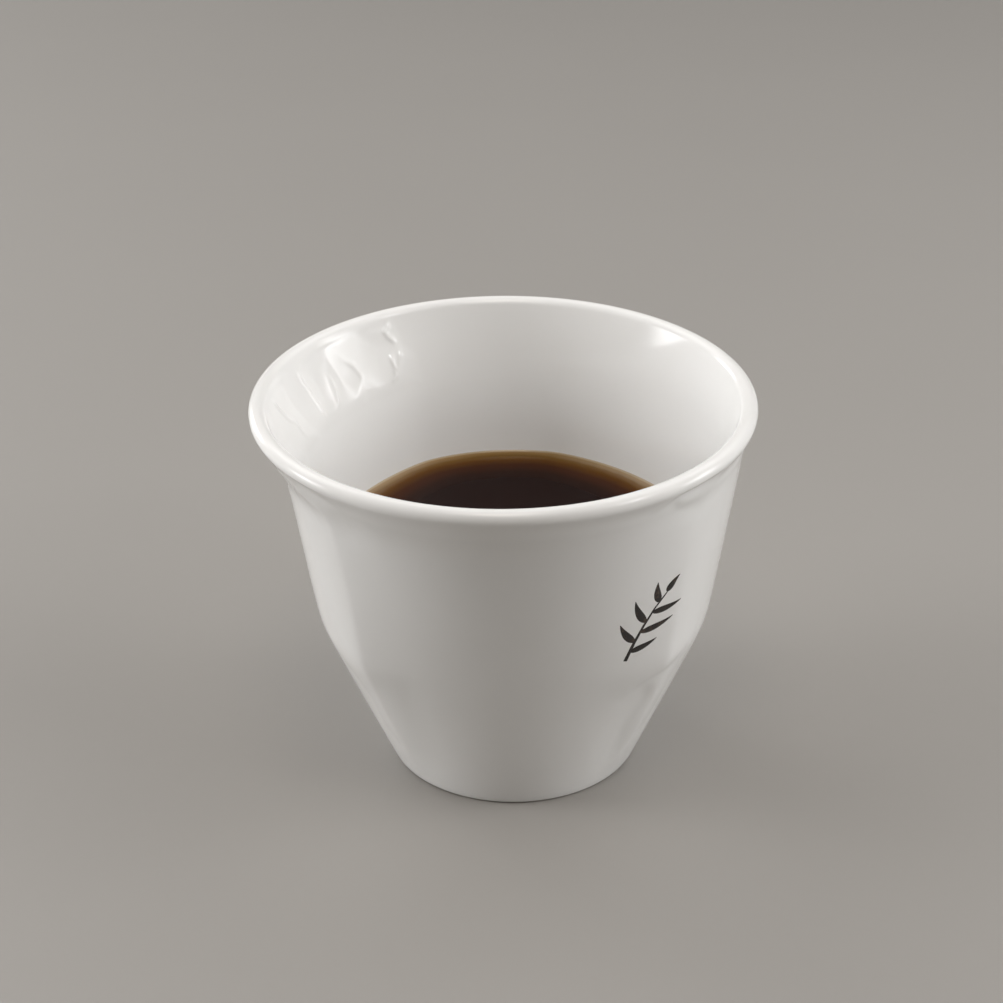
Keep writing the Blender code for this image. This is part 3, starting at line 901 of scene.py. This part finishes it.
# The studio: a plain pale floor, a warm softbox high over the front, and clear ones at the sides and
# behind, high and low. Two small ones give the creases their glints. The two broad ones at the sides
# light the cup without a mirror image in its glaze.
FLOOR_HALF = 9.0
FLOOR_COLOUR = (0.318, 0.303, 0.285, 1)
FLOOR_PALER = 1.04
FLOOR_MOTTLE_SCALE = 14.0
FLOOR_ROUGHNESS = 0.55
WORLD_COLOUR = (1.0, 0.935, 0.865, 1)
WORLD_STRENGTH = 0.105
WARM_LIGHT = (1.0, 0.91, 0.81)
CLEAR_LIGHT = (1.0, 1.0, 1.0)
# Each softbox: its name, its turn round the axis and its climb in degrees, its size, power and colour.
SOFTBOXES = (
    ("front_top", 270, 70, 0.55, 1.20, WARM_LIGHT),
    ("right_front", -20, 40, 0.95, 1.20, CLEAR_LIGHT),
    ("glint", -28, 36, 0.20, 0.42, CLEAR_LIGHT),
    ("side_glint", 8, 22, 0.24, 0.18, CLEAR_LIGHT),
    ("right", 0, 25, 0.80, 1.60, CLEAR_LIGHT),
    ("right_low", 0, 10, 0.46, 1.15, CLEAR_LIGHT),
    ("right_behind", 45, 50, 0.95, 1.40, CLEAR_LIGHT),
    ("left_front", 200, 40, 0.95, 0.30, CLEAR_LIGHT),
    ("left", 180, 24, 0.80, 3.00, CLEAR_LIGHT),
    ("left_low", 180, 10, 0.46, 1.35, CLEAR_LIGHT),
    ("left_behind", 135, 50, 0.95, 1.45, CLEAR_LIGHT),
    ("left_behind_low", 135, 12, 0.42, 1.20, CLEAR_LIGHT),
)
NOT_MIRRORED = ("right", "left")
# Soft edges take this much of a softbox's light, and its power makes up for it.
EDGE_LOSS = 4.24
SOFTBOX_DISTANCE = 0.8
SOFTBOX_AIM = Vector((0, 0, 0.03))


def floor_material():
    """A matt pale board with a faint mottle."""
    made, tree, shader = new_material("studio_floor")
    spot = place(tree, "ShaderNodeTexCoord").outputs["Object"]
    mottle_inputs = {"Vector": spot, "Scale": FLOOR_MOTTLE_SCALE, "Detail": 4.0}
    mottle = place(tree, "ShaderNodeTexNoise", mottle_inputs).outputs[0]
    paler = tuple(channel * FLOOR_PALER for channel in FLOOR_COLOUR[:3]) + (1,)
    fill(tree, shader.inputs["Base Color"], mixed(tree, mottle, FLOOR_COLOUR, paler))
    shader.inputs["Roughness"].default_value = FLOOR_ROUGHNESS
    return made


floor_mesh = bpy.data.meshes.new("studio_floor")
corners = [(x * FLOOR_HALF, y * FLOOR_HALF, 0) for x, y in ((-1, -1), (1, -1), (1, 1), (-1, 1))]
floor_mesh.from_pydata(corners, [], [(0, 1, 2, 3)])
floor_mesh.materials.append(floor_material())
studio_floor = bpy.data.objects.new("studio_floor", floor_mesh)
bpy.context.scene.collection.objects.link(studio_floor)


def soften_edges(light_data):
    """The cloth of a softbox glows most in its middle and fades to its edges."""
    light_data.use_nodes = True
    tree = light_data.node_tree
    spot = place(tree, "ShaderNodeNewGeometry").outputs["Parametric"]
    away = place(tree, "ShaderNodeVectorMath", {0: spot, 1: (0.5, 0.5, 0)}, operation="DISTANCE")
    fill(tree, tree.nodes["Emission"].inputs["Strength"], 1 - rise(Field(away.outputs["Value"]), 0, 0.5))


for name, turn, climb, size, power, colour in SOFTBOXES:
    light_data = bpy.data.lights.new(name, "AREA")
    light_data.size = size
    light_data.energy = power * EDGE_LOSS
    light_data.color = colour
    soften_edges(light_data)
    light = bpy.data.objects.new(name, light_data)
    around, up = math.radians(turn), math.radians(climb)
    away = Vector((math.cos(around) * math.cos(up), math.sin(around) * math.cos(up), math.sin(up)))
    light.location = SOFTBOX_AIM + away * SOFTBOX_DISTANCE
    light.rotation_euler = (-away).to_track_quat("-Z", "Y").to_euler()
    light.visible_camera = False
    light.visible_glossy = name not in NOT_MIRRORED
    bpy.context.scene.collection.objects.link(light)

world = bpy.data.worlds.new("studio")
world.use_nodes = True
background = world.node_tree.nodes["Background"]
background.inputs["Color"].default_value = WORLD_COLOUR
background.inputs["Strength"].default_value = WORLD_STRENGTH
bpy.context.scene.world = world
bpy.context.scene.view_settings.view_transform = "Standard"
